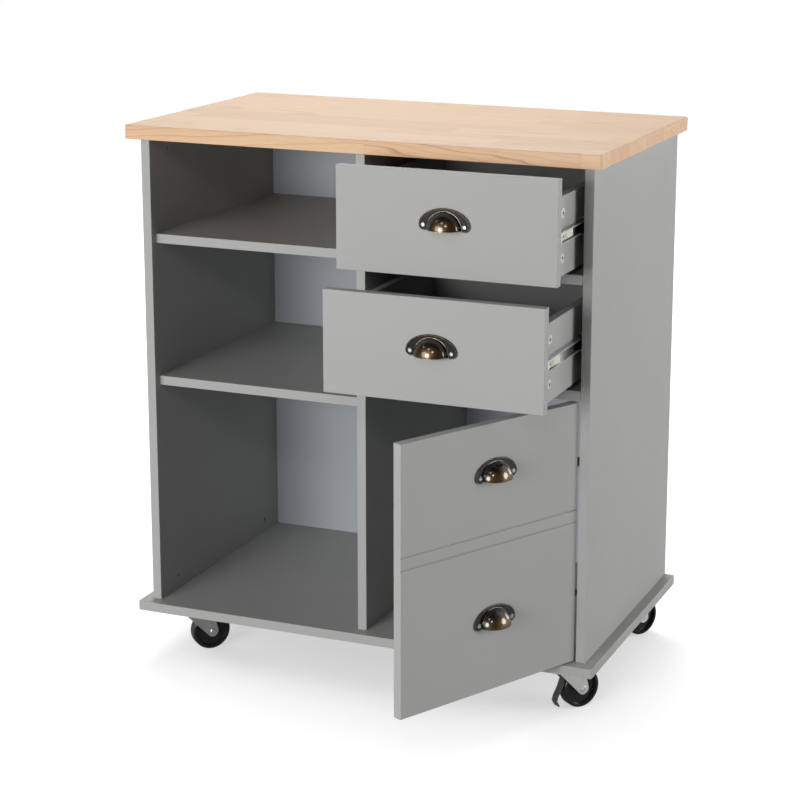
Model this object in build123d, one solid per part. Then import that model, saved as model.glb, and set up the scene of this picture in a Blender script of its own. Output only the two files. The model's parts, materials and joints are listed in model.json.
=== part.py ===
from build123d import *
import math
import os

# Kitchen cart: a boarded cabinet with an open shelf bay on the left, two drawers over a
# door on the right, a thick wooden worktop and four swivel casters.
# Millimetres. While it is built, x = 0 is the middle of the cart, y = 0 is the plane of the
# closed drawer and door fronts, +y runs to the back and z = 0 is the floor. At the end the
# whole cart is moved so that the origin lies under the middle of its box, as photographed.

# Boards
board = 15.0
edge_round = 1.0
worktop_thick = 22.0
worktop_width = 780.0
worktop_round = 2.0
top_front_overhang = 20.0
cabinet_width = 746.0
cabinet_depth = 435.0
panel_height = 762.0
divider_centre = 2.5
back_thick = 4.0
back_rebate = 8.0
back_play = 0.2

# Left bay
upper_bay_height = 154.0
middle_bay_height = 217.0
shelf_recess = 14.0

# Right bay
drawer_opening = 160.0
reveal = 2.5
front_thick = 15.0

# How far the moving pieces stand open in the photograph, and how far they go
top_drawer_out = 109.3
middle_drawer_out = 157.7
drawer_travel = 260.0
door_open_angle = 62.75

# Drawer boxes
box_side = 12.0
box_length = 370.0
box_low = 7.0
box_high = 31.0
bottom_thick = 3.5
bottom_above = 8.0
groove_depth = 5.0
groove_play = 0.1

# Two-member ball runners
runner_gap = 12.7
runner_length = 350.0
runner_behind_front = 2.0
runner_above_box = 61.0
outer_height = 27.0
outer_gauge = 1.2
outer_reach = 10.2
outer_lip = 0.9
inner_height = 16.0
inner_gauge = 1.0
inner_start = 3.0
inner_lip = 0.9
stop_gap = 0.3
cage_spare = 5.0
cage_gauge = 0.8
cage_start = 1.9
cage_end = 9.4
ball_count = 4
ball_gap = 0.05
ball_place = 6.5
clip_length = 52.0
clip_foot = 5.0
clip_drop = 3.0
clip_eye = 2.4
clip_slot = 2.0
clip_slot_gap = 5.5

# Cam connectors
cam_radius = 7.5
cam_depth = 12.0
cam_slot_long = 8.0
cam_slot_wide = 1.8
cam_slot_deep = 2.4
bolt_radius = 3.0
bolt_grip = 9.0
carcass_cam_back = 22.0
drawer_cam_back = 38.0
drawer_cam_low = 25.5
drawer_cam_high = 91.5
panel_cam_inset = 58.0
shelf_cam_inset = 50.0
rail_cam_inset = 80.0
hole_play = 0.1

# Small screws
screw_radius = 1.75
screw_head = 3.4
screw_head_high = 1.8
screw_grip = 10.0
recess_width = 0.9
nail_radius = 1.0
nail_head = 2.4
nail_grip = 14.0

# Door
groove_upper = 166.0
groove_lower = 185.0
groove_width = 3.0
groove_cut = 2.0
hinge_from_end = 100.0

# Concealed hinges: the cup in the door, the arm on the right panel
cup_radius = 17.5
cup_deep = 11.5
cup_wall = 1.0
cup_from_edge = 22.5
cup_flange = 1.2
flange_radius = 19.0
flange_wing = 60.0
wing_width = 14.0
wing_offset = 6.0
wing_screws = 48.0
link_radius = 18.0
link_gauge = 2.0
link_half = 4.5
link_to_panel = 0.5
cup_pin = 1.2
cup_eye = 2.2
eye_step = 10.0
nose_pin = 1.5
nose_gap = 0.3
arm_half = 6.0
arm_gauge = 1.2
plate_from_door = 37.0
plate_thick = 3.0
plate_screws = 32.0

# Cup pulls
pull_screws = 64.0
pull_ear = 8.0
pull_top = 25.5
pull_plate = 3.0
pull_bevel = 1.0
dome_half_width = 27.0
dome_out = 24.0
dome_high = 27.0
dome_low = 6.0
pull_wall = 1.8
pull_screw_head = 3.4
pull_screw_long = 12.0
door_pull_shift = 6.0
door_pull_upper = 77.5
door_pull_lower = 106.0

# Casters
wheel_radius = 32.0
wheel_width = 18.0
wheel_round = 2.5
hub_radius = 7.5
hub_width = 20.0
web_width = 8.0
rim_inner = 25.5
axle_radius = 3.0
axle_fit = 0.06
caster_trail = 31.5
stem_from_side = 66.0
stem_from_front = 60.0
stem_from_back = 66.0
plate_long = 62.0
plate_wide = 48.0
plate_gauge = 2.5
plate_hole_long = 48.0
plate_hole_wide = 34.0
race_radius = 20.0
race_high = 8.8
race_gap = 0.2
crown_radius = 21.0
crown_high = 4.0
crown_above_wheel = 3.3
pin_radius = 5.0
pin_head = 8.0
fork_gauge = 2.0
fork_room = 1.0
fork_eye = 9.5
fork_front = 15.0
fork_back = 32.0
rivet_radius = 4.6
rivet_high = 2.0
brake_pin_out = 5.4
brake_pin_angle = 133.0
brake_pin_radius = 2.0
brake_boss = 3.6
brake_width = 12.0
brake_boss_width = 20.0
brake_gauge = 2.6
shoe_radius = 2.0
shoe_gap = 1.0
pedal_out = 13.5
pedal_drop = 15.0
toe_out = 9.0
toe_drop = 23.0
trail_angles = {"front_left": 49.0, "front_right": 53.0, "rear_left": 70.0, "rear_right": 58.0}
braked = ("front_right", "rear_left")

# Worked out from the sizes above
caster_height = 2 * wheel_radius + crown_above_wheel + crown_high + race_gap + race_high + plate_gauge
half = cabinet_width / 2
inner = half - board
base_bottom = caster_height
base_top = base_bottom + board
panel_top = base_top + panel_height
divider_left = divider_centre - board / 2
divider_right = divider_centre + board / 2
back_face = cabinet_depth - back_thick
bay_left = divider_right
bay_right = inner
front_left = bay_left + reveal
front_right = bay_right - reveal
rail_1_top = panel_top - drawer_opening
rail_2_top = rail_1_top - board - drawer_opening
shelf_1_top = panel_top - upper_bay_height
shelf_2_top = shelf_1_top - board - middle_bay_height
runner_front = front_thick + runner_behind_front
cage_length = runner_length - drawer_travel - cage_spare
link_outer = link_radius + link_gauge / 2
link_from = math.degrees(math.acos((reveal - link_to_panel) / link_outer))
nose_radius = link_outer + nose_gap + nose_pin
nose_angle = link_from + door_open_angle
link_to = nose_angle + eye_step

nodes = {}


def keep(name, *pieces):
    """Files the solids of one sub-part under its name."""
    solids = [solid for piece in pieces for solid in piece.solids()]
    nodes.setdefault(name, []).extend(solids)


def block(x0, x1, y0, y1, z0, z1):
    """A box between two limits on each axis."""
    return Pos((x0 + x1) / 2, (y0 + y1) / 2, (z0 + z1) / 2) * Box(x1 - x0, y1 - y0, z1 - z0)


def rod(start, end, radius):
    """A round bar from one point to another."""
    run = Vector(*end) - Vector(*start)
    return Plane(origin=start, z_dir=run) * extrude(Circle(radius), run.length)


def eased(solid, axis):
    """Rounds the four edges round a board's first face along an axis."""
    return fillet(solid.faces().sort_by(axis)[0].edges(), edge_round)


def side_profile(sketch, y0, y1):
    """A sketch in x and z, drawn out from y0 to y1."""
    return extrude(Pos(0, y1, 0) * (Plane.XZ * sketch), y1 - y0)


# Fasteners


def connector(joint, inward, face, setback, thick):
    """A cam and its bolt, with their holes. The joint point lies on the bolt's axis where
    two boards meet, inward points into the board with the cam, and face is the outward
    normal of the board's face that shows the cam, setback from the joint. Gives cam, bolt,
    and the cutters of the board with the cam and of the board with the bolt."""
    place = Plane(origin=joint, x_dir=inward, z_dir=face)
    top = thick / 2
    cam = Pos(setback, 0, top - cam_depth / 2 - hole_play) * Cylinder(cam_radius, cam_depth)
    mouth = rod((setback - cam_radius, 0, 0), (setback - 1, 0, 0), bolt_radius + 2 * hole_play)
    cross = Box(cam_slot_long, cam_slot_wide, 2 * cam_slot_deep) + Box(
        cam_slot_wide, cam_slot_long, 2 * cam_slot_deep
    )
    cross = Pos(setback, 0, top) * cross
    bolt = rod((-bolt_grip, 0, 0), (setback - 2, 0, 0), bolt_radius)
    seat = Pos(setback, 0, top - cam_depth / 2) * Cylinder(
        cam_radius + hole_play, cam_depth + 2 * hole_play
    )
    bore = rod((0, 0, 0), (setback, 0, 0), bolt_radius + hole_play)
    blind = rod((-bolt_grip - hole_play, 0, 0), (0, 0, 0), bolt_radius + hole_play)
    return place * (cam - mouth - cross), place * bolt, place * (seat + bore), place * blind


def pan_screw(seat, inward, grip=screw_grip, head=screw_head, crossed=False):
    """A pan-head wood screw whose head stands on a surface at seat."""
    place = Plane(origin=seat, z_dir=inward)
    cap = Pos(0, 0, -screw_head_high / 2) * Cylinder(head, screw_head_high)
    cap = chamfer(cap.edges().sort_by(Axis.Z)[:1], screw_head_high / 2)
    body = cap + Pos(0, 0, grip / 2) * Cylinder(screw_radius, grip)
    if crossed:
        slot = Box(head * 1.2, recess_width, 2) + Box(recess_width, head * 1.2, 2)
        body -= Pos(0, 0, -screw_head_high) * slot
    return place * body


def screw_hole(seat, inward, grip=screw_grip):
    """The hole for a wood screw."""
    place = Plane(origin=seat, z_dir=inward)
    return place * Pos(0, 0, (grip + hole_play) / 2) * Cylinder(
        screw_radius + hole_play, grip + hole_play
    )


def flush_screw(seat, inward, gauge, play=0.0):
    """A flat-head screw that lies flush in a sheet of this gauge, or its hole with play."""
    place = Plane(origin=seat, z_dir=inward)
    cone = Pos(0, 0, gauge / 2) * Cone(screw_head + play, screw_radius + play, gauge)
    shank = Pos(0, 0, gauge + (screw_grip + play) / 2) * Cylinder(
        screw_radius + play, screw_grip + play
    )
    return place * (cone + shank)


# Carcass


def carcass():
    """The boards of the cabinet, their connectors and the back's nails."""
    boards = {}
    cuts = {}
    footprint = (-worktop_width / 2, worktop_width / 2, -top_front_overhang, cabinet_depth)
    top = block(*footprint, panel_top, panel_top + worktop_thick)
    top = fillet(top.edges().filter_by(Axis.Z), 2 * worktop_round)
    top = fillet(top.faces().sort_by(Axis.Z)[-1].edges(), worktop_round)
    boards["worktop"] = fillet(top.faces().sort_by(Axis.Z)[0].edges(), edge_round)
    base = block(*footprint, base_bottom, base_top)
    base = fillet(base.edges().filter_by(Axis.Z), 2 * worktop_round)
    boards["base_board"] = fillet(base.faces().sort_by(Axis.Z)[-1].edges(), edge_round)

    uprights = {
        "side_panel_left": (-half, -inner, cabinet_depth),
        "side_panel_right": (inner, half, cabinet_depth),
        "centre_divider": (divider_left, divider_right, back_face),
    }
    for name, (x0, x1, back) in uprights.items():
        boards[name] = eased(block(x0, x1, 0, back, base_top, panel_top), Axis.Y)
    rebate = block(-inner - back_rebate, inner + back_rebate, back_face,
                   cabinet_depth + 1, base_top, panel_top)
    flats = {
        "shelf_upper": (-inner, divider_left, shelf_recess, shelf_1_top),
        "shelf_lower": (-inner, divider_left, shelf_recess, shelf_2_top),
        "drawer_rail_upper": (bay_left, bay_right, 0, rail_1_top),
        "drawer_rail_lower": (bay_left, bay_right, 0, rail_2_top),
    }
    for name, (x0, x1, front, height) in flats.items():
        boards[name] = eased(block(x0, x1, front, back_face, height - board, height), Axis.Y)
    for name in boards:
        cuts[name] = []
    cuts["side_panel_left"].append(rebate)
    cuts["side_panel_right"].append(rebate)

    def join(joint, inward, face, cam_board, bolt_board):
        cam, bolt, seat, blind = connector(joint, inward, face, carcass_cam_back, board)
        keep("cam_locks", cam)
        keep("cam_bolts", bolt)
        cuts[cam_board].append(seat)
        cuts[bolt_board].append(blind)

    for name, (x0, x1, back) in uprights.items():
        face = (1, 0, 0) if name == "side_panel_left" else (-1, 0, 0)
        for y in (panel_cam_inset, cabinet_depth - panel_cam_inset):
            middle = (x0 + x1) / 2
            join((middle, y, panel_top), (0, 0, -1), face, name, "worktop")
            join((middle, y, base_top), (0, 0, 1), face, name, "base_board")
    for name, (x0, x1, front, height) in flats.items():
        inset = shelf_cam_inset if front else rail_cam_inset
        ends = {
            x0: ((1, 0, 0), "side_panel_left" if front else "centre_divider"),
            x1: ((-1, 0, 0), "centre_divider" if front else "side_panel_right"),
        }
        for x, (inward, upright) in ends.items():
            for y in (front + inset, back_face - inset):
                join((x, y, height - board / 2), inward, (0, 0, -1), name, upright)

    back = block(-inner - back_rebate + back_play, inner + back_rebate - back_play,
                 back_face, cabinet_depth, base_top, panel_top)
    for x in (-half + board / 2, divider_centre, half - board / 2):
        for share in (0.1, 0.37, 0.63, 0.9):
            z = base_top + share * panel_height
            place = Plane(origin=(x, cabinet_depth, z), z_dir=(0, -1, 0))
            head = Pos(0, 0, 0.6) * Cylinder(nail_head, 1.2)
            shank = Pos(0, 0, nail_grip / 2) * Cylinder(nail_radius, nail_grip)
            keep("back_panel_nails", place * (head + shank))
            hole = Pos(0, 0, 0.65) * Cylinder(nail_head + hole_play, 1.3) + Pos(
                0, 0, (nail_grip + hole_play) / 2
            ) * Cylinder(nail_radius + hole_play / 2, nail_grip + hole_play)
            back -= place * hole
            for name, (x0, x1, deep) in uprights.items():
                if x0 < x < x1:
                    cuts[name].append(place * hole)
    keep("back_panel", back)
    return boards, cuts


# Runners and drawers


def outer_section(wall_x, into, z):
    """The cabinet member's C section: its web on the bay wall, its mouth to the drawer."""
    web = Rectangle(outer_reach, outer_height)
    hollow = Rectangle(outer_reach - 2 * outer_gauge, outer_height - 2 * outer_gauge)
    mouth = Pos(outer_gauge, 0) * Rectangle(
        outer_reach, outer_height - 2 * (outer_gauge + outer_lip)
    )
    shape = fillet(web.vertices(), outer_gauge) - hollow - mouth
    return Pos(wall_x + into * outer_reach / 2, z) * (shape if into > 0 else mirror(shape, Plane.YZ))


def inner_section(side_x, out, z):
    """The drawer member's channel: its web on the drawer side, its lips to the wall."""
    reach = runner_gap - inner_start
    web = Rectangle(reach, inner_height)
    room = Pos(inner_gauge, 0) * Rectangle(reach, inner_height - 2 * inner_gauge)
    lips = Rectangle(inner_gauge, inner_height + 2 * inner_lip)
    lips = Pos((reach - inner_gauge) / 2, 0) * (lips - Rectangle(inner_gauge, inner_height - 2))
    shape = web - room + lips
    return Pos(side_x + out * reach / 2, z) * (shape if out > 0 else mirror(shape, Plane.YZ))


def end_clip(back, face, y, z):
    """The moulded clip in the front end of a drawer member, between two x: a foot as high as
    the channel, and behind it a tongue under the top flange with an eye and two slots."""
    half_high = inner_height / 2 - inner_gauge - hole_play
    x = sorted((back, face))
    foot = block(*x, y, y + clip_foot, z - half_high, z + half_high)
    tongue_low = z - half_high + clip_drop
    tongue = block(*x, y, y + clip_length, tongue_low, z + half_high)
    through = (min(x) - 1, max(x) + 1)
    eye_y = y + clip_foot + 2 * clip_eye
    eye_z = (tongue_low + z + half_high) / 2
    tongue -= rod((through[0], eye_y, eye_z), (through[1], eye_y, eye_z), clip_eye)
    for number in (1, 2):
        slot_y = eye_y + clip_eye + number * clip_slot_gap
        tongue -= block(*through, slot_y - clip_slot, slot_y, tongue_low + 1.5, z + half_high - 1.5)
    return foot + tongue


def runner_pair(name, z, out):
    """Both runners of a drawer: cabinet members, drawer members, ball cages and end clips."""
    walls = ((bay_left, 1, "centre_divider"), (bay_right, -1, "side_panel_right"))
    start = runner_front
    end = start + runner_length
    cuts = {"centre_divider": [], "side_panel_right": []}
    side_cuts = []
    for wall, into, upright in walls:
        outer_end = end + stop_gap + outer_gauge
        outer = side_profile(outer_section(wall, into, z), start, outer_end)
        reach = wall + into * (outer_reach - 1)
        stop = block(*sorted((wall + into * 0.5, reach)), end + stop_gap, outer_end,
                     z - inner_height / 3, z + inner_height / 3)
        outer += stop
        for y in (start + 30, end - 30):
            seat = (wall + into * outer_gauge, y, z)
            outer -= flush_screw(seat, (-into, 0, 0), outer_gauge, hole_play / 2)
            keep("runner_and_hinge_screws", flush_screw(seat, (-into, 0, 0), outer_gauge))
            cuts[upright].append(flush_screw(seat, (-into, 0, 0), outer_gauge, hole_play / 2))
        keep(name + "_runners_outer", outer)

        side = wall + into * runner_gap
        member = side_profile(inner_section(side, -into, z), start - out, end - out)
        first = start - out + clip_length + screw_head + clip_foot
        for y in (first, end - 45 - out):
            seat = (side - into * inner_gauge, y, z)
            member -= screw_hole(seat, (into, 0, 0))
            keep(name + "_fixings", pan_screw(seat, (into, 0, 0)))
            side_cuts.append(screw_hole(seat, (into, 0, 0)))
        keep(name + "_runners_inner", member)

        clip_back = side - into * (inner_gauge + hole_play)
        clip_face = wall + into * (inner_start + 0.2)
        keep(name + "_runner_clips", end_clip(clip_back, clip_face, start - out, z))

        middle = (start + end) / 2 - out / 2
        ball = (outer_height / 2 - outer_gauge - inner_height / 2) / 2 - ball_gap
        level = inner_height / 2 + ball + ball_gap
        long = (middle - cage_length / 2, middle + cage_length / 2)
        web_x = sorted((wall + into * cage_start, wall + into * (cage_start + cage_gauge * 0.75)))
        cage = block(*web_x, *long, z - level - cage_gauge / 2, z + level + cage_gauge / 2)
        for sign in (-1, 1):
            flange_x = sorted((wall + into * cage_start, wall + into * cage_end))
            flange_z = sorted((z + sign * (level - cage_gauge / 2), z + sign * (level + cage_gauge / 2)))
            cage += block(*flange_x, *long, *flange_z)
            for index in range(ball_count):
                y = long[0] + cage_length * (index + 0.5) / ball_count
                centre = (wall + into * ball_place, y, z + sign * level)
                cage -= Pos(*centre) * Cylinder(ball + hole_play, 3 * cage_gauge)
                keep(name + "_ball_cages", Pos(*centre) * Sphere(ball))
        keep(name + "_ball_cages", cage)
    return cuts, side_cuts


def drawer(name, floor, ceiling, out):
    """One drawer, open by out: front, box, pull, runners and fixings."""
    front_low = floor + reveal
    front_high = ceiling - reveal
    low = front_low + box_low
    high = front_high - box_high
    left = bay_left + runner_gap
    right = bay_right - runner_gap
    face = front_thick - out
    end = face + box_length
    upright_cuts, side_cuts = runner_pair(name, low + runner_above_box, out)

    front = eased(block(front_left, front_right, -out, face, front_low, front_high), Axis.Y)
    sides = {}
    for side, x0, normal in (("left", left, -1), ("right", right - box_side, 1)):
        sides[side] = block(x0, x0 + box_side, face, end, low, high)
        for level in (drawer_cam_low, drawer_cam_high):
            joint = (x0 + box_side / 2, face, low + level)
            cam, bolt, seat, blind = connector(joint, (0, 1, 0), (normal, 0, 0), drawer_cam_back, box_side)
            keep(name + "_fixings", cam, bolt)
            sides[side] -= seat
            front -= blind
        sides[side] -= [cut for cut in side_cuts if (cut.center().X < divider_centre + half / 2) == (side == "left")]
    groove_low = low + bottom_above
    groove_high = groove_low + bottom_thick + 2 * groove_play
    groove = block(left + box_side - groove_depth, right - box_side + groove_depth,
                   face - groove_depth, end + 1, groove_low, groove_high)
    back = block(left + box_side, right - box_side, end - box_side, end, groove_high, high)
    for side, x, inward in (("left", left, 1), ("right", right, -1)):
        for level in (0.35, 0.8):
            seat = (x, end - box_side / 2, low + level * (high - low))
            into = (inward, 0, 0)
            long = box_side + screw_grip
            keep(name + "_fixings", flush_back_screw(seat, into, long))
            sides[side] -= flush_back_screw(seat, into, long, hole_play)
            back -= flush_back_screw(seat, into, long, hole_play)
    play = groove_play
    bottom = block(left + box_side - groove_depth + play, right - box_side + groove_depth - play,
                   face - groove_depth + play, end, groove_low + play, groove_high - play)
    centre = (front_left + front_right) / 2
    pull_z = (front_low + front_high) / 2
    pull, screws, holes = cup_pull(pull_screw_long)
    place = Pos(centre, -out, pull_z)
    keep(name + "_front", front - groove - place * holes)
    keep(name + "_side_left", sides["left"] - groove)
    keep(name + "_side_right", sides["right"] - groove)
    keep(name + "_back", back)
    keep(name + "_bottom", bottom)
    keep(name + "_pull", place * pull)
    keep(name + "_pull_screws", *[place * screw for screw in screws])
    return upright_cuts


def flush_back_screw(seat, inward, long, play=0.0):
    """A countersunk screw through the drawer side into its back, or its hole with play."""
    place = Plane(origin=seat, z_dir=inward)
    cone = Pos(0, 0, 1) * Cone(screw_head + play, screw_radius + play, 2)
    shank = Pos(0, 0, (long + play) / 2) * Cylinder(screw_radius + play, long + play)
    return place * (cone + shank)


# Cup pulls


def cup_pull(grip):
    """A shell pull on the plane y = 0, its screws on z = 0, its mouth down: a D-shaped
    flange with two ears and a quarter dome of one wall, open behind and below. Gives the
    pull, its screws and the holes in the board behind."""
    hole = pull_screws / 2
    outline = Ellipse(hole + pull_ear, pull_top) & Pos(0, pull_top / 2) * Rectangle(
        2 * (hole + pull_ear), pull_top
    )
    outline += Pos(0, -pull_ear / 2) * Rectangle(2 * hole, pull_ear)
    for x in (-hole, hole):
        outline += Pos(x, 0) * (Circle(pull_ear) & Pos(0, -pull_ear) * Rectangle(3 * pull_ear, 2 * pull_ear))
    flange = side_profile(outline, -pull_plate, 0)
    flange = chamfer(flange.faces().sort_by(Axis.Y)[0].edges(), pull_bevel)

    def quarter(wall):
        ball = scale(Sphere(1), (dome_half_width - wall, dome_out - wall, dome_high - wall))
        room = 2 * pull_screws
        keep_box = block(-room, room, -room, 1 if wall else 0, -room if wall else 0, room)
        return Pos(0, 0, -dome_low) * (ball & keep_box)

    lip = block(-dome_half_width, dome_half_width, -pull_plate - 1, 1, -2 * pull_ear, -dome_low)
    shell = flange + quarter(0) - quarter(pull_wall) - lip
    screws = []
    holes = []
    for x in (-hole, hole):
        seat = (x, -pull_plate, 0)
        screws.append(pan_screw(seat, (0, 1, 0), pull_plate + grip, pull_screw_head, True))
        bore = screw_hole(seat, (0, 1, 0), pull_plate + grip)
        shell -= bore
        holes.append(bore)
    return shell, screws, holes[0] + holes[1]


# Door and its concealed hinges


def hinge_cup(z):
    """Cup, link and pin of one hinge on the closed door. Coordinates run from the hinge
    axis, which stands at the front corner of the door's edge."""
    back = front_thick
    centre = (-cup_from_edge, 0)
    cup = Pos(*centre, back - cup_deep / 2) * Cylinder(cup_radius, cup_deep)
    plate = Circle(flange_radius) + Pos(-wing_offset, 0) * RectangleRounded(
        wing_width, flange_wing, wing_width / 2 - 0.01
    )
    flange = Pos(*centre, back) * extrude(plate, cup_flange)
    cavity = Pos(*centre, back + cup_wall - (cup_deep - cup_wall) / 2 + 0.5) * Cylinder(
        cup_radius - cup_wall, cup_deep + 1
    )
    cup = cup + flange - cavity
    upright = Plane(origin=(0, 0, z), x_dir=(1, 0, 0), z_dir=(0, 1, 0))
    cup = upright * mirror(cup, Plane.XZ)
    screws = []
    holes = []
    for side in (-1, 1):
        seat = (-cup_from_edge - wing_offset, back + cup_flange, z + side * wing_screws / 2)
        cup -= screw_hole(seat, (0, -1, 0))
        screws.append(pan_screw(seat, (0, -1, 0)))
        holes.append(screw_hole(seat, (0, -1, 0)))
    turn = math.radians(link_to)
    pin_at = (link_radius * math.cos(turn), link_radius * math.sin(turn))
    chord = math.sqrt((cup_radius - cup_wall / 2) ** 2 - (pin_at[0] + cup_from_edge) ** 2)
    pin = rod((*pin_at, z - chord), (*pin_at, z + chord), cup_pin)
    cup -= rod((*pin_at, z - chord - 0.1), (*pin_at, z + chord + 0.1), cup_pin + hole_play / 2)
    ring = Circle(link_radius + link_gauge / 2) - Circle(link_radius - link_gauge / 2)
    reach = 2 * link_radius
    sector = Polygon(
        (0, 0),
        (reach * math.cos(math.radians(link_from)), reach * math.sin(math.radians(link_from))),
        (reach * math.cos(math.radians(120)), reach * math.sin(math.radians(120))),
        (reach * math.cos(turn), reach * math.sin(turn)),
        align=None,
    )
    link = (ring & sector) + Pos(*pin_at) * Circle(cup_eye)
    link -= Pos(*pin_at) * Circle(cup_pin + hole_play)
    link = Pos(0, 0, z - link_half) * extrude(link, 2 * link_half)
    seat_hole = rod((-cup_from_edge, back - cup_deep - hole_play, z), (-cup_from_edge, back + 1, z),
                    cup_radius + hole_play)
    return cup, link, pin, screws, holes + [seat_hole]


def hinge_arm(z):
    """The arm and its mounting plate on the panel, from the same axis."""
    turn = math.radians(nose_angle)
    nose = (nose_radius * math.cos(turn), nose_radius * math.sin(turn))
    wall = reveal
    mount_y = front_thick + plate_from_door
    tip = Pos(*nose) * Circle(nose_pin + 1)
    bend = Pos(nose[0] + 6, nose[1] + 14) * Circle(3)
    root = Pos(-4.5, mount_y - 20) * Circle(4)
    tail = Pos(-4.5, mount_y + 22) * Circle(4)
    shape = make_hull(tip.edges() + bend.edges())
    shape += make_hull(bend.edges() + root.edges())
    shape += make_hull(root.edges() + tail.edges())
    arm = Pos(0, 0, z - arm_half) * extrude(shape, 2 * arm_half)
    slot_low = Pos(-4.5, mount_y - 20) * Circle(4 - arm_gauge)
    slot_high = Pos(-4.5, mount_y + 22) * Circle(4 - arm_gauge)
    bend_in = Pos(nose[0] + 6, nose[1] + 14) * Circle(3 - arm_gauge)
    wide = Pos(*nose) * Circle(nose_pin + 2)
    trough = make_hull(slot_low.edges() + slot_high.edges()) + make_hull(bend_in.edges() + slot_low.edges())
    trough += make_hull(wide.edges() + bend_in.edges())
    arm -= Pos(0, 0, z - arm_half + arm_gauge) * extrude(trough, 2 * (arm_half - arm_gauge))
    arm += rod((*nose, z - arm_half), (*nose, z + arm_half), nose_pin)
    plate = block(wall - plate_thick, wall, mount_y - 12, mount_y + 12, z - 22, z + 22)
    plate = fillet(plate.edges().filter_by(Axis.X), 5)
    mounting = block(-3, wall - plate_thick, mount_y - 9, mount_y + 20, z - arm_half, z + arm_half)
    screws = []
    holes = []
    for side in (-1, 1):
        seat = (wall - plate_thick, mount_y, z + side * plate_screws / 2)
        plate -= screw_hole(seat, (1, 0, 0))
        screws.append(pan_screw(seat, (1, 0, 0)))
        holes.append(screw_hole(seat, (1, 0, 0)))
    return arm + plate + mounting, screws, holes


def door():
    """The door with its false drawer grooves, pulls and hinge cups, turned open about the
    hinge axis, and the two arms on the right panel. Gives the cuts of that panel."""
    low = base_top + reveal
    high = rail_2_top - board - reveal
    wide = front_right - front_left
    axis = Pos(front_right, 0, 0)
    swing = Pos(front_right, 0, 0) * Rot(0, 0, door_open_angle)
    panel = eased(block(-wide, 0, 0, front_thick, low, high), Axis.Y)
    for drop in (groove_upper, groove_lower):
        cut = Polygon((-groove_width / 2, 0), (groove_width / 2, 0), (0, groove_cut), align=None)
        side = Plane(origin=(-wide - 1, 0, high - drop), x_dir=(0, 0, 1), z_dir=(1, 0, 0))
        panel -= side * extrude(Rot(0, 0, 180) * cut, wide + 2)
    panel_cuts = []
    fixings = []
    for name, z in (("upper", high - hinge_from_end), ("lower", low + hinge_from_end)):
        cup, link, pin, screws, holes = hinge_cup(z)
        panel -= holes
        keep("hinge_cup_" + name, swing * cup, swing * link, swing * pin)
        fixings += screws
        arm, arm_screws, arm_holes = hinge_arm(z)
        keep("hinge_arm_" + name, axis * arm)
        keep("runner_and_hinge_screws", *[axis * screw for screw in arm_screws])
        panel_cuts += [axis * hole for hole in arm_holes]
    for name, z in (("upper", high - door_pull_upper), ("lower", low + door_pull_lower)):
        pull, screws, holes = cup_pull(pull_screw_long - 2)
        place = Pos(-wide / 2 + door_pull_shift, 0, z)
        panel -= place * holes
        keep("door_pull_" + name, swing * place * pull)
        fixings += [place * screw for screw in screws]
    keep("door_panel", swing * panel)
    keep("door_screws", *[swing * screw for screw in fixings])
    return panel_cuts


# Casters


def wheel():
    """A wheel on the y axis: crowned tread, dished web, hub and bore."""
    edge = wheel_width / 2
    bore = axle_radius + axle_fit
    side = [(bore, hub_width / 2), (hub_radius, hub_width / 2), (hub_radius + 1, web_width / 2),
            (rim_inner, web_width / 2), (rim_inner + 1.5, edge), (wheel_radius, edge)]
    other = [(r, -y) for r, y in reversed(side)]
    section = make_face(Polyline(*side, *other, close=True))
    section = fillet(section.vertices().group_by(Axis.X)[-1], wheel_round)
    return Rot(90, 0, 0) * revolve(Plane.XZ * section, Axis.Z)


def from_wheel(radius, angle):
    """A point at a radius and angle from the wheel's centre, in the fork's side view."""
    turn = math.radians(angle)
    return caster_trail + radius * math.cos(turn), wheel_radius + radius * math.sin(turn)


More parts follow.
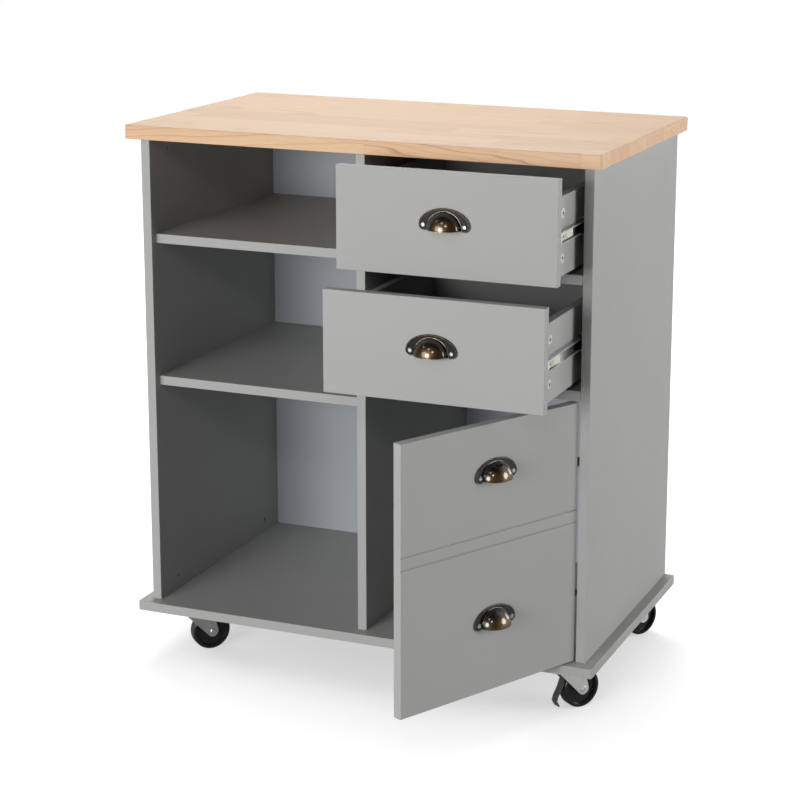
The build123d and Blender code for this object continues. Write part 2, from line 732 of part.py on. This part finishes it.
def fork(with_brake):
    """A fork whose stem stands on the z axis and whose axle trails along +x, with its axle
    bolt, nut and, where it carries a brake, the brake's pin."""
    crown_low = 2 * wheel_radius + crown_above_wheel
    crown_top = crown_low + crown_high
    gap = hub_width / 2 + fork_room
    crown = Pos(0, 0, (crown_low + crown_top) / 2) * Cylinder(crown_radius, crown_high)
    crown = fillet(crown.edges().sort_by(Axis.Z)[-1], 2)
    eye = Pos(caster_trail, wheel_radius) * Circle(fork_eye)
    head = Pos((fork_back - fork_front) / 2, crown_top - crown_high / 2) * Rectangle(
        fork_back + fork_front, crown_high
    )
    shape = make_hull(eye.edges() + head.edges())
    pin_x, pin_z = from_wheel(wheel_radius + brake_pin_out, brake_pin_angle)
    if with_brake:
        boss = Pos(pin_x, pin_z) * Circle(brake_boss + 1.5)
        shape += make_hull(boss.edges() + head.edges())
        shape -= Pos(pin_x, pin_z) * Circle(brake_pin_radius + hole_play / 2)
    shape -= Pos(caster_trail, wheel_radius) * Circle(axle_radius + hole_play / 2)
    body = crown
    for side in (-1, 1):
        y = sorted((side * gap, side * (gap + fork_gauge)))
        body += side_profile(shape, *y)
    bridge = block(-fork_front, fork_back, -gap, gap, crown_low, crown_low + fork_gauge)
    body += bridge
    body -= Pos(0, 0, crown_low) * Cylinder(pin_radius + axle_fit, 3 * crown_high)
    out = gap + fork_gauge
    axle = rod((caster_trail, -out, wheel_radius), (caster_trail, out + 6, wheel_radius), axle_radius)
    bolt_head = rod((caster_trail, -out, wheel_radius), (caster_trail, -out - rivet_high, wheel_radius), rivet_radius)
    bolt_head = chamfer(bolt_head.edges().sort_by(Axis.Y)[0], rivet_high / 2)
    bolt_head -= rod((caster_trail, -out - rivet_high, wheel_radius),
                     (caster_trail, -out - rivet_high / 2, wheel_radius), rivet_radius / 3)
    nut = Pos(caster_trail, out + 2.6, wheel_radius) * Rot(90, 0, 0) * extrude(
        RegularPolygon(5.5, 6), 2.5, both=True)
    pieces = [body, axle + bolt_head + nut]
    if with_brake:
        pieces.append(rod((pin_x, -out - 1, pin_z), (pin_x, out + 1, pin_z), brake_pin_radius))
    return pieces


def brake_lever():
    """The brake pedal in front of the wheel, pressed as in the photograph: a boss on the pin,
    a straight arm past the tread with the shoe half way, and a hooked pedal for the toe."""
    pin_from_axle = wheel_radius + brake_pin_out
    shoe_from_axle = wheel_radius + shoe_gap + shoe_radius
    half_arm = math.degrees(math.acos(shoe_from_axle / pin_from_axle))
    front = caster_trail - wheel_radius
    pin = Pos(*from_wheel(pin_from_axle, brake_pin_angle))
    boss = pin * Circle(brake_boss)
    shoe = Pos(*from_wheel(shoe_from_axle, brake_pin_angle + half_arm)) * Circle(shoe_radius)
    end = Circle(brake_gauge / 2)
    heel = Pos(*from_wheel(pin_from_axle, brake_pin_angle + 2 * half_arm)) * end
    pedal_high = Pos(front - pedal_out + 2, wheel_radius - pedal_drop / 2) * end
    pedal = Pos(front - pedal_out, wheel_radius - pedal_drop) * end
    toe = Pos(front - toe_out, wheel_radius - toe_drop) * end
    shape = boss + shoe
    chain = (boss, heel, pedal_high, pedal, toe)
    for start, stop in zip(chain, chain[1:]):
        shape += make_hull(start.edges() + stop.edges())
    lever = side_profile(shape, -brake_width / 2, brake_width / 2)
    lever += side_profile(boss, -brake_boss_width / 2, brake_boss_width / 2)
    return lever - side_profile(pin * Circle(brake_pin_radius + axle_fit), -brake_boss_width, brake_boss_width)


def caster_plate():
    """The fixed half: screw plate, race cup and king pin, with its four screws."""
    top = caster_height
    crown_low = 2 * wheel_radius + crown_above_wheel
    race_low = crown_low + crown_high + race_gap
    plate = Pos(0, 0, top - plate_gauge / 2) * Box(plate_long, plate_wide, plate_gauge)
    plate = fillet(plate.edges().filter_by(Axis.Z), 5)
    race = Pos(0, 0, (race_low + top - plate_gauge) / 2) * Cylinder(
        race_radius, top - plate_gauge - race_low
    )
    race = fillet(race.edges().sort_by(Axis.Z)[0], 3)
    pin = Pos(0, 0, (crown_low + race_low) / 2) * Cylinder(
        pin_radius, race_low - crown_low + 2
    )
    head_top = crown_low - race_gap
    head = Pos(0, 0, head_top - 1) * Cylinder(pin_head, 2)
    plate = plate + race + pin + head
    screws = []
    holes = []
    for x in (-plate_hole_long / 2, plate_hole_long / 2):
        for y in (-plate_hole_wide / 2, plate_hole_wide / 2):
            seat = (x, y, top - plate_gauge)
            plate -= screw_hole(seat, (0, 0, 1))
            screws.append(pan_screw(seat, (0, 0, 1)))
            holes.append(screw_hole(seat, (0, 0, 1)))
    return plate, screws, holes


def casters():
    """The four casters. Gives the screw holes of the base board."""
    side = worktop_width / 2 - stem_from_side
    front = -top_front_overhang + stem_from_front
    rear = cabinet_depth - stem_from_back
    spots = {"front_left": (-side, front), "front_right": (side, front),
             "rear_left": (-side, rear), "rear_right": (side, rear)}
    board_cuts = []
    for name, (x, y) in spots.items():
        plate, screws, holes = caster_plate()
        keep("caster_plates", Pos(x, y, 0) * plate)
        keep("caster_screws", *[Pos(x, y, 0) * screw for screw in screws])
        board_cuts += [Pos(x, y, 0) * hole for hole in holes]
        swivel = Pos(x, y, 0) * Rot(0, 0, trail_angles[name])
        keep("fork_" + name, *[swivel * piece for piece in fork(name in braked)])
        keep("wheel_" + name, swivel * Pos(caster_trail, 0, wheel_radius) * wheel())
        if name in braked:
            keep("brake_" + name, swivel * brake_lever())
    return board_cuts


# Assembly
boards, cuts = carcass()
for label, floor, ceiling, out in (
    ("top_drawer", rail_1_top, panel_top, top_drawer_out),
    ("middle_drawer", rail_2_top, rail_1_top - board, middle_drawer_out),
):
    for upright, holes in drawer(label, floor, ceiling, out).items():
        cuts[upright] += holes
cuts["side_panel_right"] += door()
cuts["base_board"] += casters()
for label, solid in boards.items():
    keep(label, solid - cuts[label])

box = Compound([solid for solids in nodes.values() for solid in solids]).bounding_box()
shift = Pos(-box.center().X, -box.center().Y, -box.min.Z)
os.makedirs("parts", exist_ok=True)
for label, solids in nodes.items():
    export_step(shift * Compound(solids), "parts/" + label + ".step")
print("nodes", len(nodes), "shift", shift.position, "size", box.size)
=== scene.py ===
import json
import math

import bmesh
import bpy
from mathutils import Matrix, Vector

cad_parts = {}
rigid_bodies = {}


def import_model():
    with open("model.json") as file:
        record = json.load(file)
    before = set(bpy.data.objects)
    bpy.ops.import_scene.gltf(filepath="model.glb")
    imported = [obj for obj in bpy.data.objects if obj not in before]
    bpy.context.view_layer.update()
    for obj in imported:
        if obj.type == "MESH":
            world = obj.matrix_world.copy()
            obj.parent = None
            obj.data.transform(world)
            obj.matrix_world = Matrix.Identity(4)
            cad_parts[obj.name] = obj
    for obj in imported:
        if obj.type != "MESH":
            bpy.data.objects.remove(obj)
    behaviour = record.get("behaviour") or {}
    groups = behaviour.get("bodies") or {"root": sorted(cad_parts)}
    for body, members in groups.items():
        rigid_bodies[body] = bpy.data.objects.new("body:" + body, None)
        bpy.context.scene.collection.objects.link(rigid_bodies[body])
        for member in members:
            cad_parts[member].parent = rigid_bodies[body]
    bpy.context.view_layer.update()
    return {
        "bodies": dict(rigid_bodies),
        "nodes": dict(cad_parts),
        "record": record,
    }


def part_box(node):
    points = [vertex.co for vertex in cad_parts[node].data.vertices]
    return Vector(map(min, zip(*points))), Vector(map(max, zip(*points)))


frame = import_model()
nodes = frame["nodes"]
bodies = frame["bodies"]

# Camera, solved from the photograph: metres and degrees in the cart's own frame
camera_place = (1.3067, -2.9688, 1.3391)
camera_turn = 21.18
camera_down = 13.05
camera_roll = 0.41
lens = 96.04
sensor = 36.0
shift = (-0.0875, -0.1)


def aim_camera():
    data = bpy.data.cameras.new("camera")
    data.lens = lens
    data.sensor_width = sensor
    data.shift_x, data.shift_y = shift
    data.clip_start = 0.05
    camera = bpy.data.objects.new("camera", data)
    turn = Matrix.Rotation(math.radians(camera_turn), 4, "Z")
    tilt = Matrix.Rotation(math.radians(90 - camera_down), 4, "X")
    roll = Matrix.Rotation(math.radians(camera_roll), 4, "Z")
    camera.matrix_world = Matrix.Translation(camera_place) @ turn @ tilt @ roll
    bpy.context.scene.collection.objects.link(camera)
    bpy.context.scene.camera = camera


# Studio: soft boxes on a ring round the cart
box_target = Vector((0.0, 0.0, 0.45))
box_distance = 4.2


def soft_box(name, azimuth, elevation, power, box_size=1.6):
    """A round soft box that looks at the cart: azimuth 0 is in front of it, 90 on its right."""
    turn, rise = math.radians(azimuth), math.radians(elevation)
    away = Vector((math.sin(turn) * math.cos(rise), -math.cos(turn) * math.cos(rise), math.sin(rise)))
    place = box_target + box_distance * away
    place.z = max(place.z, box_size / 2 + 0.1)
    data = bpy.data.lights.new(name, "AREA")
    data.shape = "DISK"
    data.size = box_size
    data.energy = power
    light = bpy.data.objects.new(name, data)
    light.location = place
    light.rotation_euler = (box_target - place).to_track_quat("-Z", "Y").to_euler()
    bpy.context.scene.collection.objects.link(light)


def light_studio():
    soft_box("key", -9, 7, 101.0, 1.8)
    soft_box("key_left", -26, 10, 48.0, 2.2)
    soft_box("key_high", -5, 42, 8.0, 0.8)
    soft_box("spark", 20, 28, 13.0, 0.5)
    soft_box("spark_left", -52, 44, 4.0, 0.25)
    soft_box("right", 98, 10, 91.0, 2.0)
    soft_box("left", -112, 12, 50.0, 2.0)
    soft_box("rear_right", 145, 8, 34.0)
    soft_box("rear_high", -155, 52, 124.0, 2.4)


class Shader:
    """A material and short calls for its nodes."""

    def __init__(self, name, **sockets):
        self.material = bpy.data.materials.new(name)
        self.material.use_nodes = True
        self.tree = self.material.node_tree
        self.surface = self.tree.nodes["Principled BSDF"]
        self.output = self.tree.nodes["Material Output"]
        self.set(self.surface, **sockets)

    def set(self, node, **sockets):
        """Fills sockets by name, with underscores for spaces: a value, or another socket."""
        for key, value in sockets.items():
            numbered = key[0] == "i" and key[1:].isdigit()
            socket = node.inputs[int(key[1:]) if numbered else key.replace("_", " ")]
            if isinstance(value, bpy.types.NodeSocket):
                self.tree.links.new(value, socket)
            else:
                socket.default_value = value

    def add(self, kind, options=None, **sockets):
        node = self.tree.nodes.new(kind)
        for key, value in (options or {}).items():
            setattr(node, key, value)
        self.set(node, **sockets)
        return node

    def place(self, scale=(1, 1, 1), source="Object"):
        """The piece's own coordinates, stretched."""
        coordinates = self.add("ShaderNodeTexCoord").outputs[source]
        return self.add("ShaderNodeMapping", Vector=coordinates, Scale=scale).outputs["Vector"]

    def noise(self, vector, scale, detail=4.0, roughness=0.5, distortion=0.0):
        return self.add("ShaderNodeTexNoise", Vector=vector, Scale=scale, Detail=detail,
                        Roughness=roughness, Distortion=distortion).outputs["Fac"]

    def ramp(self, factor, *stops):
        """A colour ramp: (position, colour) pairs."""
        node = self.add("ShaderNodeValToRGB", Fac=factor)
        ramp = node.color_ramp
        while len(ramp.elements) < len(stops):
            ramp.elements.new(0.5)
        for element, (position, colour) in zip(ramp.elements, stops):
            element.position = position
            element.color = (*colour, 1.0)
        return node.outputs["Color"]

    def range(self, factor, low, high, start=0.0, end=1.0):
        return self.add("ShaderNodeMapRange", i0=factor, i1=start, i2=end, i3=low,
                        i4=high).outputs["Result"]

    def math(self, operation, a, b=0.0, c=0.0):
        return self.add("ShaderNodeMath", {"operation": operation}, i0=a, i1=b, i2=c).outputs[0]

    def split(self, vector):
        return self.add("ShaderNodeSeparateXYZ", Vector=vector).outputs

    def join(self, x, y, z):
        return self.add("ShaderNodeCombineXYZ", X=x, Y=y, Z=z).outputs["Vector"]

    def scaled(self, vector, factor):
        return self.add("ShaderNodeVectorMath", {"operation": "SCALE"}, Vector=vector,
                        Scale=factor).outputs["Vector"]

    def mix(self, factor, a, b, blend="MIX"):
        node = self.add("ShaderNodeMix", {"data_type": "RGBA", "blend_type": blend})
        self.set(node, i0=factor)
        for index, value in ((6, a), (7, b)):
            socket = node.inputs[index]
            if isinstance(value, bpy.types.NodeSocket):
                self.tree.links.new(value, socket)
            else:
                socket.default_value = (*value, 1.0)
        return node.outputs[2]

    def bump(self, height, strength, distance):
        normal = self.add("ShaderNodeBump", Height=height, Strength=strength, Distance=distance)
        self.set(self.surface, Normal=normal.outputs["Normal"])


def painted_board(name, colour):
    """Satin lacquer on board: a very slight orange peel, and a tone that drifts a little."""
    paint = Shader(name, Roughness=0.42, Specular_IOR_Level=0.15)
    place = paint.place()
    drift = paint.noise(place, 5.0, 3.0)
    speck = paint.noise(place, 700.0, 2.0)
    dark = tuple(0.955 * c for c in colour)
    light = tuple(1.03 * c for c in colour)
    tone = paint.mix(drift, dark, light)
    tone = paint.mix(paint.range(speck, 0.0, 0.10), tone, light)
    paint.set(paint.surface, Base_Color=tone)
    paint.set(paint.surface, Roughness=paint.range(paint.noise(place, 60.0), 0.36, 0.48))
    paint.bump(paint.noise(place, 900.0, 3.0), 0.10, 0.0004)
    return paint.material


def stave_wood():
    """Light hardwood staves glued side by side along x. Each stave is cut from its own log: its
    growth rings lie round a pith of its own, so streaks, arches and end grain all come from
    one pattern that runs through the board."""
    low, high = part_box("worktop")
    stave_wide = (high.y - low.y) / 10
    stave_long = 0.36
    ring_step = 0.0062
    wood = Shader("stave_wood", Roughness=0.33, Specular_IOR_Level=0.35, Coat_Weight=0.28, Coat_Roughness=0.5)
    m = wood.math
    place = wood.place()
    x, y, z = wood.split(place)
    row_at = m("DIVIDE", m("SUBTRACT", y, low.y - 0.004), stave_wide)
    row = m("FLOOR", row_at)
    even_at = m("ADD", m("DIVIDE", x, stave_long), m("FRACT", m("MULTIPLY", row, 0.618)))
    joint = m("FLOOR", m("ADD", even_at, 0.5))
    uneven = m("SINE", m("MULTIPLY_ADD", joint, 3.319, m("MULTIPLY_ADD", row, 2.3, 2.94)))
    past = m("SUBTRACT", even_at, m("MULTIPLY_ADD", uneven, 0.25, joint))
    column = m("SUBTRACT", m("ADD", joint, m("GREATER_THAN", past, 0.0)), 1.0)
    own = wood.add("ShaderNodeTexWhiteNoise", Vector=wood.join(row, column, 4.5))
    tone_of = own.outputs["Value"]
    r1, r2, r3 = wood.split(own.outputs["Color"])
    along = m("MULTIPLY", m("SUBTRACT", m("SUBTRACT", even_at, column), 0.5), stave_long)
    across = m("MULTIPLY", m("SUBTRACT", m("FRACT", row_at), 0.5), stave_wide)
    up = m("SUBTRACT", z, (low.z + high.z) / 2)
    shifted = wood.add("ShaderNodeVectorMath", {"operation": "MULTIPLY_ADD"}, i0=place,
                       i1=(4.5, 17.0, 17.0), i2=wood.scaled(own.outputs["Color"], 31.0)).outputs[0]
    sway = m("MULTIPLY", m("SUBTRACT", wood.noise(shifted, 1.0, 2.0, 0.5, 0.8), 0.5), 0.030)
    side = m("ADD", m("MULTIPLY_ADD", m("MULTIPLY", m("SUBTRACT", r1, 0.5), 0.15), along, across),
             m("ADD", sway, m("MULTIPLY", m("SUBTRACT", r3, 0.5), 0.07)))
    depth = m("ADD", m("MULTIPLY_ADD", m("MULTIPLY", m("SUBTRACT", r2, 0.5), 0.20), along, up),
              m("MULTIPLY_ADD", r1, 0.05, 0.014))
    radius = m("SQRT", m("ADD", m("MULTIPLY", side, side), m("MULTIPLY", depth, depth)))
    ring_at = m("DIVIDE", radius, ring_step)
    ring = wood.ramp(m("FRACT", ring_at), (0.0, (0, 0, 0)), (0.60, (0.06, 0.06, 0.06)),
                     (0.90, (1, 1, 1)), (1.0, (0, 0, 0)))
    bold = wood.add("ShaderNodeTexWhiteNoise", {"noise_dimensions": "4D"},
                    Vector=wood.join(row, column, 3.5), W=m("FLOOR", ring_at)).outputs["Value"]
    bold = wood.range(bold, 0.08, 0.95, 0.35, 1.0)
    fibre_place = wood.add("ShaderNodeMapping", Vector=shifted, Scale=(2.2, 22.0, 22.0)).outputs["Vector"]
    fibre = wood.noise(fibre_place, 1.0, 4.0, 0.65)
    pore_place = wood.add("ShaderNodeMapping", Vector=place, Scale=(60.0, 1500.0, 1500.0)).outputs["Vector"]
    pores = wood.noise(pore_place, 1.0, 2.0, 0.6)
    tone = wood.ramp(tone_of, (0.0, (0.64, 0.405, 0.232)), (0.35, (0.69, 0.444, 0.258)),
                     (0.7, (0.72, 0.484, 0.287)), (1.0, (0.68, 0.458, 0.264)))
    tone = wood.mix(wood.range(r2, 0.0, 0.25), tone, (0.73, 0.49, 0.315))
    tone = wood.mix(wood.range(fibre, 0.0, 0.42, 0.38, 0.75), tone, (0.60, 0.36, 0.195))
    normal_x, _, normal_z = wood.split(wood.add("ShaderNodeNewGeometry").outputs["Normal"])
    # Ring lines are drawn at 0.6 strength on the flat top and underside, rising to 0.8 on the edges.
    ring_by_facing = wood.range(m("ABSOLUTE", normal_z), 1.0, 0.5, 0.6, 0.8)
    tone = wood.mix(m("MULTIPLY", m("MULTIPLY", ring, bold), ring_by_facing), tone, (0.45, 0.225, 0.100))
    tone = wood.mix(wood.range(pores, 0.28, 0.0, 0.30, 0.46), tone, (0.44, 0.235, 0.112))
    end_grain = wood.range(m("ABSOLUTE", normal_x), 0.0, 1.0, 0.6, 0.8)
    tone = wood.mix(end_grain, tone, wood.mix(1.0, tone, (1.0, 0.97, 0.95), "MULTIPLY"))
    seam = m("MINIMUM", m("PINGPONG", row_at, 0.5),
             m("MULTIPLY", m("ABSOLUTE", past), stave_long / stave_wide))
    tone = wood.mix(wood.range(seam, 0.30, 0.0, 0.004, 0.012), tone, (0.39, 0.235, 0.13))
    wood.set(wood.surface, Base_Color=tone)
    wood.set(wood.surface, Roughness=wood.range(pores, 0.62, 0.50))
    wood.bump(pores, 0.10, 0.0003)
    return wood.material


def zinc(name, tint, sharp, dulled):
    """Zinc plate, faintly clouded, between two roughnesses."""
    steel = Shader(name, Metallic=1.0, Roughness=0.3)
    place = steel.place()
    cloud = steel.noise(place, 90.0, 4.0, 0.6)
    dull = tuple(0.82 * c for c in tint)
    steel.set(steel.surface, Base_Color=steel.mix(cloud, dull, tint))
    steel.set(steel.surface, Roughness=steel.range(cloud, sharp, dulled))
    steel.bump(steel.noise(place, 400.0, 3.0), 0.05, 0.0002)
    return steel.material


def plastic(name, colour, roughness, bump=0.06, grain=600.0):
    """Moulded plastic with a fine grain."""
    mould = Shader(name, Roughness=roughness)
    place = mould.place()
    cloud = mould.noise(place, 40.0, 3.0)
    dark = tuple(0.9 * c for c in colour)
    mould.set(mould.surface, Base_Color=mould.mix(cloud, dark, colour))
    mould.set(mould.surface, Roughness=mould.range(cloud, roughness * 0.85, roughness * 1.2))
    mould.bump(mould.noise(place, grain, 2.0), bump, 0.0003)
    return mould.material


def facing(node):
    """The way a pull faces, and the place of its back along that way, from its largest flat
    side, which lies on the board."""
    areas = {}
    for face in node.data.polygons:
        key = tuple(round(c, 2) for c in face.normal)
        areas.setdefault(key, []).append(face)
    back = max(areas.values(), key=lambda faces: sum(face.area for face in faces))[0]
    out = -back.normal
    return out, back.center.dot(out)


def bronze(name):
    """Antique bronze: a near-black patina. The dome is brassy towards its front, where it is rubbed, and only
    low down: a painted sheen that stands in for the light it catches there, while its top stays dark. Its
    edges are brighter, partly rubbed wear and partly painted highlight along the rims."""
    out, wall = facing(nodes[name])
    low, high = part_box(name)
    metal = Shader("bronze_" + name, Metallic=1.0, Coat_Weight=1.0, Coat_IOR=1.6,
                   Coat_Roughness=0.12)
    place = metal.place()
    cloud = metal.noise(place, 120.0, 5.0, 0.65)
    forward = metal.add("ShaderNodeVectorMath", {"operation": "DOT_PRODUCT"}, i0=place,
                        i1=out).outputs["Value"]
    forward = metal.range(forward, 0.0, 1.0, wall + 0.006, wall + 0.020)
    # Painted sheen: the brass is kept to the lower part of the dome, so the top stays dark as if in shade.
    lower_sheen = metal.range(metal.split(place)[2], 1.0, 0.0, low.z + 0.012, high.z - 0.006)
    rubbed_and_sheen = metal.math("MULTIPLY", metal.math("MULTIPLY", forward, lower_sheen),
                        metal.range(cloud, 0.45, 1.0, 0.35, 0.62))
    tone = metal.mix(rubbed_and_sheen, (0.007, 0.006, 0.005), (0.115, 0.070, 0.030))
    flat = metal.add("ShaderNodeNewGeometry").outputs["Normal"]
    eased = metal.add("ShaderNodeBevel", {"samples": 6}, Radius=0.0009).outputs["Normal"]
    rim_wear_and_highlight = metal.add("ShaderNodeVectorMath", {"operation": "DOT_PRODUCT"}, i0=flat,
                     i1=eased).outputs["Value"]
    # Rubbed wear and painted highlight: every edge of the pull is brightened towards pale brass.
    tone = metal.mix(metal.range(rim_wear_and_highlight, 0.8, 0.0, 0.86, 0.99), tone, (0.80, 0.60, 0.36))
    metal.set(metal.surface, Base_Color=tone)
    metal.set(metal.surface, Roughness=metal.range(cloud, 0.38, 0.52))
    metal.bump(cloud, 0.06, 0.0004)
    return metal.material


def paint_nodes():
    grey = painted_board("painted_board", (0.38, 0.385, 0.375))
    thin = painted_board("bottom_board", (0.41, 0.43, 0.455))
    slots = {
        "painted_board": grey,
        "bottom_board": thin,
        "worktop_wood": stave_wood(),
        "zinc_steel": zinc("zinc_steel", (0.52, 0.53, 0.52), 0.24, 0.42),
        "nylon": plastic("nylon", (0.68, 0.66, 0.56), 0.4),
        "wheel_black": plastic("wheel_black", (0.012, 0.012, 0.013), 0.22, 0.02),
        "brake_plastic": plastic("brake_plastic", (0.055, 0.06, 0.06), 0.45),
    }
    dull = zinc("zinc_dull", (0.74, 0.75, 0.72), 0.42, 0.60)
    cast = zinc("zinc_cast", (0.54, 0.54, 0.53), 0.50, 0.65)
    for entry in frame["record"]["subparts"]:
        name = entry["node"]
        if entry["material_slot"] == "pull_bronze":
            material = bronze(name)
        elif name.startswith(("fork", "caster")):
            material = dull
        elif name.startswith("cam") or name.endswith("fixings"):
            material = cast
        else:
            material = slots[entry["material_slot"]]
        nodes[name].data.materials.clear()
        nodes[name].data.materials.append(material)


def lay_floor():
    """A white floor. For the camera it also glows, and away from the object the glow goes over into the white
    background. Near the object the glow is dimmed by ambient occlusion, a painted shadow under and around it,
    added to the lit floor, which keeps the object's real shadow. In reflections and bounced light the floor
    far in front is dark: painted shade for what the lacquer and the pulls reflect."""
    half = 14.0
    mesh = bpy.data.meshes.new("floor")
    mesh.from_pydata([(-half, -half, 0), (half, -half, 0), (half, half, 0), (-half, half, 0)], [],
                     [(0, 1, 2, 3)])
    floor = bpy.data.objects.new("floor", mesh)
    bpy.context.scene.collection.objects.link(floor)
    paper = Shader("floor_white", Roughness=0.9)
    lit = paper.add("ShaderNodeBsdfDiffuse", Color=(0.44, 0.44, 0.44, 1))
    # Painted shadow: near the object the glow follows ambient occlusion, so it darkens under and around the
    # cart.
    open_sky = paper.add("ShaderNodeAmbientOcclusion", {"samples": 12}, Distance=0.45).outputs["AO"]
    glow_with_painted_shadow = paper.range(open_sky, 0.44, 0.86)
    away = paper.add("ShaderNodeVectorMath", {"operation": "LENGTH"},
                     i0=paper.place()).outputs["Value"]
    # Painted shade: for reflections and bounced light only, the floor more than about 1.9 m in front of the
    # cart turns dark.
    dark_front_for_reflections = paper.range(paper.split(paper.place())[1], 1.0, 0.0, -1.9, -1.1)
    paper.set(paper.surface, Base_Color=paper.mix(dark_front_for_reflections, (0.40, 0.40, 0.40), (0.05, 0.05, 0.05)))
    level = paper.math("MAXIMUM", glow_with_painted_shadow, paper.range(away, 0.5, 1.0, 1.2, 3.0))
    glow = paper.add("ShaderNodeEmission", Color=(1, 1, 1, 1), Strength=level)
    both = paper.add("ShaderNodeAddShader")
    paper.tree.links.new(lit.outputs[0], both.inputs[0])
    paper.tree.links.new(glow.outputs[0], both.inputs[1])
    seen = paper.add("ShaderNodeMixShader",
                     i0=paper.add("ShaderNodeLightPath").outputs["Is Camera Ray"])
    paper.tree.links.new(paper.surface.outputs[0], seen.inputs[1])
    paper.tree.links.new(both.outputs[0], seen.inputs[2])
    paper.tree.links.new(seen.outputs[0], paper.output.inputs["Surface"])
    mesh.materials.append(paper.material)


def set_world():
    """White where the camera looks past the object, and where a reflection looks past its back.
    In front the studio is dark, and the world gives no light of its own."""
    world = bpy.data.worlds.new("world")
    bpy.context.scene.world = world
    world.use_nodes = True
    tree = world.node_tree

    def add(kind, *sources):
        node = tree.nodes.new(kind)
        for index, source in enumerate(sources):
            if isinstance(source, bpy.types.NodeSocket):
                tree.links.new(source, node.inputs[index])
            elif source is not None:
                node.inputs[index].default_value = source
        return node

    rays = add("ShaderNodeLightPath")
    way = add("ShaderNodeSeparateXYZ", add("ShaderNodeTexCoord").outputs["Generated"])
    behind = add("ShaderNodeMapRange", way.outputs["Y"], -0.2, 0.4, 0.04, 0.9)
    mirrored = add("ShaderNodeMath", rays.outputs["Is Glossy Ray"], behind.outputs[0])
    mirrored.operation = "MULTIPLY"
    level = add("ShaderNodeMath", rays.outputs["Is Camera Ray"], mirrored.outputs[0])
    level.operation = "MAXIMUM"
    tree.links.new(level.outputs[0], tree.nodes["Background"].inputs["Strength"])
    tree.nodes["Background"].inputs["Color"].default_value = (1, 1, 1, 1)


bpy.context.scene.view_settings.view_transform = "Standard"
aim_camera()
light_studio()
set_world()
lay_floor()
paint_nodes()
